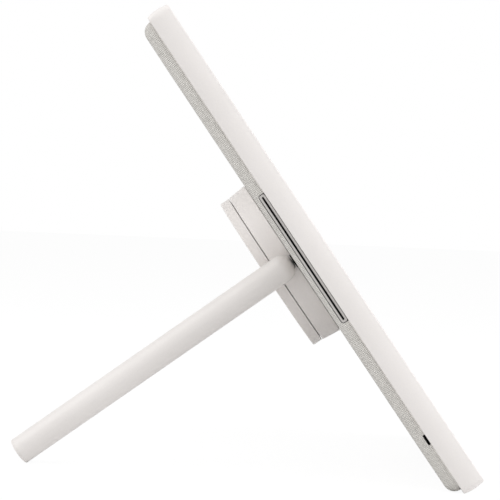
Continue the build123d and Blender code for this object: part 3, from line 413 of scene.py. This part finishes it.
def cloth_shell():
    """The cloth's outer face: a shallow block with a rounded rear edge, open in front."""
    shell = add_block(
        "back_cloth", (cloth_width, cloth_length, cloth_depth), (0, 0, -cloth_depth / 2)
    )
    round_edges(shell, runs_through, cloth_corner, steps=14)
    round_edges(shell, lambda middle, along: middle.z < hairbreadth - cloth_depth, cloth_edge, steps=14)
    clear_marks(shell, "FACE")
    for face in shell.data.polygons:
        face.select = face.normal.z > aligned
    bpy.ops.object.mode_set(mode="EDIT")
    bpy.ops.mesh.delete(type="FACE")
    bpy.ops.object.mode_set(mode="OBJECT")
    return shell


def unfold(shell):
    """UV map in metres that follows the cloth round the rear edge, as it was cut flat."""
    layer = shell.data.uv_layers.new(name="yarns")
    flat_x = cloth_width / 2 - cloth_edge
    flat_y = cloth_length / 2 - cloth_edge
    straight = cloth_depth - cloth_edge
    for loop in shell.data.loops:
        point = shell.data.vertices[loop.vertex_index].co
        inner = Vector((max(-flat_x, min(flat_x, point.x)), max(-flat_y, min(flat_y, point.y))))
        outward = Vector((point.x, point.y)) - inner
        depth = -point.z
        if depth > straight:
            turn = math.acos(max(-1, min(1, (depth - straight) / cloth_edge)))
            reach = cloth_edge * turn
        else:
            reach = cloth_edge * math.pi / 2 + straight - depth
        if outward.length > hairbreadth:
            inner += outward.normalized() * reach
        layer.data[loop.index].uv = inner


def apply_modifier(piece, kind, **settings):
    """Work a modifier with its settings into a piece's mesh."""
    work_on(piece)
    made = piece.modifiers.new(kind.lower(), kind)
    for key, value in settings.items():
        setattr(made, key, value)
    bpy.ops.object.modifier_apply(modifier=made.name)


def cut_with(piece, tool):
    """Cut a tool's shape out of a piece, and throw the tool away."""
    apply_modifier(piece, "BOOLEAN", object=tool, operation="DIFFERENCE", solver="EXACT")
    bpy.data.objects.remove(tool)


def cut_window(piece, place, length, height, corner):
    """Cut a window with rounded corners through a piece's side wall."""
    tool = add_block("tool", (window_tool, length, height), place)
    round_edges(tool, lambda middle, along: abs(along.x) > aligned, corner, steps=6)
    cut_with(piece, tool)


def swell(tree, count):
    """Height across yarns that lie side by side: 0 between two and 1 on each."""
    return maths(tree, "ABSOLUTE", maths(tree, "SINE", maths(tree, "MULTIPLY", count, math.pi)))


def dipping(tree, own, crossed):
    """Height of a yarn, which sinks between the yarns that it crosses."""
    rise = maths(tree, "MULTIPLY", crossed, yarn_sink)
    return maths(tree, "MULTIPLY", own, maths(tree, "ADD", rise, 1 - yarn_sink))


def upper_yarn(tree, weft_on_top, warp, weft):
    """The value of the warp or of the weft, by which of them lies on top."""
    inputs = {0: weft_on_top, 2: warp, 3: weft}
    return add_node(tree, "ShaderNodeMix", inputs, data_type="FLOAT").outputs[0]


def woven(name, pale, deep):
    """Plain weave: warp over weft and weft over warp, each yarn with its own tone, and painted shade that
    darkens the colour in the hollows between the yarns.
    """
    finish, tree, shader = new_finish(name, roughness=0.86, specular=0.25)
    shader.inputs["Sheen Weight"].default_value = 0.25
    shader.inputs["Sheen Roughness"].default_value = 0.5
    flat = add_node(tree, "ShaderNodeUVMap", uv_map="yarns").outputs["UV"]
    yarns = stretched(tree, flat, (1 / yarn, 1 / yarn, 1))
    count = add_node(tree, "ShaderNodeSeparateXYZ", {"Vector": yarns}).outputs
    warp_swell = swell(tree, count["X"])
    weft_swell = swell(tree, count["Y"])
    crossing = maths(tree, "ADD", maths(tree, "FLOOR", count["X"]), maths(tree, "FLOOR", count["Y"]))
    weft_on_top = maths(tree, "PINGPONG", crossing, 1.0)
    warp = dipping(tree, warp_swell, weft_swell)
    weft = dipping(tree, weft_swell, warp_swell)
    height = upper_yarn(tree, weft_on_top, warp, weft)
    warp_tone = noise(tree, stretched(tree, yarns, (1.0, 0.12, 1)), scale=1.4, detail=2.0)
    weft_tone = noise(tree, stretched(tree, yarns, (0.12, 1.0, 1)), scale=1.4, detail=2.0)
    melange = upper_yarn(tree, weft_on_top, warp_tone, weft_tone)
    tone = mix_colours(tree, spread(tree, melange, 0.4, 0.6), deep, pale)
    # Painted shade: where the weave is low, between the yarns, the colour is darkened to as little as
    # half.
    painted_pit_shade = spread(tree, height, 0.05, 0.75, to_low=0.5)
    painted_pit_shade_colour = add_node(tree, "ShaderNodeCombineColor", {0: painted_pit_shade, 1: painted_pit_shade, 2: painted_pit_shade}).outputs[0]
    feed(shader, "Base Color", mix_colours(tree, 1.0, tone, painted_pit_shade_colour, "MULTIPLY"))
    fuzz = maths(tree, "MULTIPLY", noise(tree, yarns, scale=9.0, detail=3.0), yarn_fuzz)
    raise_surface(tree, shader, maths(tree, "ADD", height, fuzz), depth=0.00022)
    return finish


cloth = cloth_shell()
unfold(cloth)
apply_modifier(cloth, "SOLIDIFY", thickness=cloth_thickness, offset=-1)
# A trim's window is centred on the cloth's front edge, so it is open to the front.
for side in (-1, 1):
    cut_window(
        cloth,
        (side * cloth_width / 2, 0, 0),
        2 * (trim_high[1] + trim_room),
        2 * (trim_room - trim_low[2]),
        trim_window_corner,
    )
cut_window(
    cloth,
    (-cloth_width / 2, (mic_low[1] + mic_high[1]) / 2, (mic_low[2] + mic_high[2]) / 2),
    mic_high[1] - mic_low[1] + 2 * mic_room_along,
    mic_high[2] - mic_low[2] + 2 * mic_room_beside,
    mic_window_corner,
)
bpy.ops.object.select_all(action="DESELECT")
bpy.ops.mesh.primitive_cylinder_add(
    vertices=hub_hole_sides, radius=hub_hole, depth=hole_tool, location=(0, 0, -cloth_depth)
)
cut_with(cloth, name_piece("tool"))
lean_back(cloth, woven("woven_cloth", yarn_pale, yarn_deep))
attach(cloth, "display")
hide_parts("fabric_cover")

# ======================= side trims and controls =====================================
# Pale moulded trims sit in windows of the tray's side walls. The left one is the speaker's
# vent, with black wire mesh behind its slit. The right one carries the volume buttons,
# with their switches behind them, and the slider of the lens shutter.
trim_pale = (0.59, 0.566, 0.547, 1)
trim_shade = (0.55, 0.527, 0.509, 1)
dress(
    satin_plastic("trim_satin", trim_pale, trim_shade, roughness=0.4),
    "vent_bezel",
    "control_bezel",
    "volume_up_button",
    "volume_down_button",
    "privacy_slider",
    "lens_shutter",
)
dress(black_rubber, "switch_board")


def deep_black(name):
    """Black darker than rubber and gauze are, with the shade of a deep hole painted into its colour, so
    that it stays black in bright light.
    """
    finish, tree, shader = new_finish(name, roughness=0.9, specular=0.03)
    fleck = spread(tree, noise(tree, piece_places(tree), scale=1600.0, detail=3.0), 0.3, 0.7)
    black = mix_colours(tree, fleck, (0.002, 0.002, 0.002, 1), (0.005, 0.005, 0.005, 1))
    feed(shader, "Base Color", black)
    raise_surface(tree, shader, fleck, depth=0.00004)
    return finish


def wire_mesh(name):
    """Fine near-black wire cloth, with painted shade that makes its holes darker than its wires."""
    finish, tree, shader = new_finish(name, roughness=0.9, specular=0.05)
    wire = spread(tree, cells(tree, piece_places(tree), scale=2200.0), 0.2, 0.5)
    black = mix_colours(tree, wire, (0.002, 0.002, 0.002, 1), (0.008, 0.008, 0.008, 1))
    feed(shader, "Base Color", black)
    raise_surface(tree, shader, wire, depth=0.0001)
    return finish


# Painted shade: the microphone's port is near black, its gauze's own black deepened by painted shade of
# the hole.
dress(deep_black("mic_gauze_painted_shade"), "mic_port")
# Painted shade: the vent's wire mesh has its holes painted darker than its wires.
dress(wire_mesh("vent_wire_painted_shade"), "vent_mesh")

# ======================= spindle and hub =============================================
# The hub is a white drum and a flat cap with a narrow seam between them, on a glide ring
# of pressed felt, whose near white is painted light in the shadowed gap between hub and
# cloth. It turns on a steel spindle with a plastic thrust washer and a disc spring under a
# slotted nut. A black rubber pad keeps the leg's top off the cloth. Its black is deepened
# past rubber's own by painted shade of the gap round it.
hub_white = (0.87, 0.832, 0.81, 1)
hub_shade = (0.84, 0.802, 0.78, 1)
steel_bright = (0.56, 0.57, 0.58, 1)
steel_dull = (0.42, 0.43, 0.44, 1)
nylon_pale = (0.78, 0.77, 0.72, 1)
nylon_shade = (0.74, 0.73, 0.68, 1)
# Painted light: the felt's two greys are made near white, so that the shadowed gap between the hub and the
# cloth, where the ring shows, reads pale.
felt_pale_painted_light = (0.94, 0.925, 0.9, 1)
felt_deep_painted_light = (0.84, 0.825, 0.8, 1)


def pressed_felt(name, pale, deep):
    """Short fibres pressed flat, in two greys."""
    finish, tree, shader = new_finish(name, roughness=0.95, specular=0.1)
    shader.inputs["Sheen Weight"].default_value = 0.3
    drawn_out = stretched(tree, piece_places(tree), (1, 3, 1))
    fibre = noise(tree, drawn_out, scale=1400.0, detail=5.0)
    feed(shader, "Base Color", mix_colours(tree, spread(tree, fibre, 0.35, 0.65), deep, pale))
    raise_surface(tree, shader, fibre, depth=0.0001)
    return finish


steel = stamped_metal("turned_steel", steel_bright, steel_dull, roughness=0.3, lines=(300, 60, 60))
nylon = satin_plastic("washer_nylon", nylon_pale, nylon_shade, roughness=0.5)
hub_finish = satin_plastic("hub_satin", hub_white, hub_shade, roughness=0.45, depth=0.000005)
dress(steel, "turntable_spindle", "friction_spring", "retainer_nut")
dress(screw_steel, "spindle_screws")
dress(nylon, "thrust_washer")
dress(hub_finish, "hub_housing", "hub_cap")
# The glide ring's near-white felt is painted light in the shadowed gap under the hub.
dress(pressed_felt("ring_felt_painted_light", felt_pale_painted_light, felt_deep_painted_light), "glide_ring")
# Painted shade: the pad at the leg's top is near black, rubber's own black deepened by painted shade of
# the gap between the leg's top and the cloth.
dress(deep_black("tip_rubber_painted_shade"), "tip_guard")
dress(tin, "power_socket")
dress(resist, "power_board")

# ======================= hinge and leg ===============================================
# A round aluminium tube with a domed top turns on a steel pin in the hub's bracket. It has
# a satin powder coat close to the frame's colour, and its foot is rubber of that colour.
leg_white = (0.82, 0.786, 0.764, 1)
leg_shade = (0.79, 0.756, 0.735, 1)
leg_coat = satin_plastic("leg_coat", leg_white, leg_shade, roughness=0.38, grain=0.0006, depth=0.00001)
dress(steel, "hinge_bracket", "hinge_pin", "stop_cam", "hinge_spring", "pin_nut")
dress(screw_steel, "bracket_screws")
dress(nylon, "hinge_washer")
dress(leg_coat, "stand_leg")
dress(satin_plastic("foot_rubber", leg_white, leg_shade, roughness=0.6), "foot_cap")

# ======================= studio ======================================================
# A pale floor and surround, which the camera, reflections and glass see as white. The
# light is the surround and five broad soft lamps: one overhead, one high behind, two on
# the camera's side and one in front.
floor_grey = (0.8, 0.8, 0.8, 1)
floor_size = 12
sky_strength = 0.47
aim = Vector((0, 0, 0.1))  # near the display's middle, which all lamps point at
camera_place = (-0.7876, -0.0041, 0.1246)
camera_turn = (88.61, -2.39, -89.59)  # in degrees

bpy.ops.mesh.primitive_plane_add(size=floor_size, location=(0, 0, 0))
floor = bpy.context.object
floor.name = "floor"


def pale_where_seen(tree, shader_output, share, strength):
    """Mix plain white into what the camera, reflections and glass see."""
    rays = add_node(tree, "ShaderNodeLightPath").outputs
    seen = any_of(tree, rays["Is Camera Ray"], rays["Is Glossy Ray"], rays["Is Transmission Ray"])
    part = maths(tree, "MULTIPLY", seen, share)
    white = add_node(tree, "ShaderNodeEmission", {"Color": (1, 1, 1, 1), "Strength": strength})
    inputs = {0: part, 1: shader_output, 2: white.outputs[0]}
    return add_node(tree, "ShaderNodeMixShader", inputs).outputs[0]


floor_finish, floor_tree, floor_shader = new_finish("floor_pale", roughness=0.9, specular=0.1)
floor_shader.inputs["Base Color"].default_value = floor_grey
floor_seen = pale_where_seen(floor_tree, floor_shader.outputs[0], share=0.9, strength=1.045)
feed(floor_tree.nodes["Material Output"], "Surface", floor_seen)
floor.data.materials.append(floor_finish)

world = bpy.data.worlds.new("surround")
bpy.context.scene.world = world
world.use_nodes = True
sky = world.node_tree.nodes["Background"]
sky.inputs["Color"].default_value = (1, 1, 1, 1)
sky.inputs["Strength"].default_value = sky_strength
sky_seen = pale_where_seen(world.node_tree, sky.outputs[0], share=1.0, strength=1.0)
feed(world.node_tree.nodes["World Output"], "Surface", sky_seen)


def soft_light(name, place, size, power):
    """A square soft lamp."""
    lamp = bpy.data.lights.new(name, "AREA")
    lamp.size = size
    lamp.energy = power
    holder = bpy.data.objects.new(name, lamp)
    bpy.context.scene.collection.objects.link(holder)
    holder.location = place
    holder.rotation_euler = (aim - Vector(place)).to_track_quat("-Z", "Y").to_euler()


soft_light("overhead", (-0.45, 0.2, 1.4), size=1.4, power=5.5)
soft_light("back_high", (-0.3, 1.2, 1.0), size=1.2, power=8.5)
soft_light("side_fill", (-1.4, 0.3, 0.8), size=1.2, power=1.2)
soft_light("side_front", (-1.2, -1.1, 0.7), size=1.0, power=3.2)
soft_light("front_fill", (-0.4, -1.5, 0.7), size=1.0, power=11)

camera_data = bpy.data.cameras.new("camera")
camera_data.lens = 110.5
camera_data.sensor_width = 36
camera = bpy.data.objects.new("camera", camera_data)
bpy.context.scene.collection.objects.link(camera)
camera.location = camera_place
camera.rotation_euler = [math.radians(angle) for angle in camera_turn]
bpy.context.scene.camera = camera
bpy.context.scene.view_settings.view_transform = "Standard"
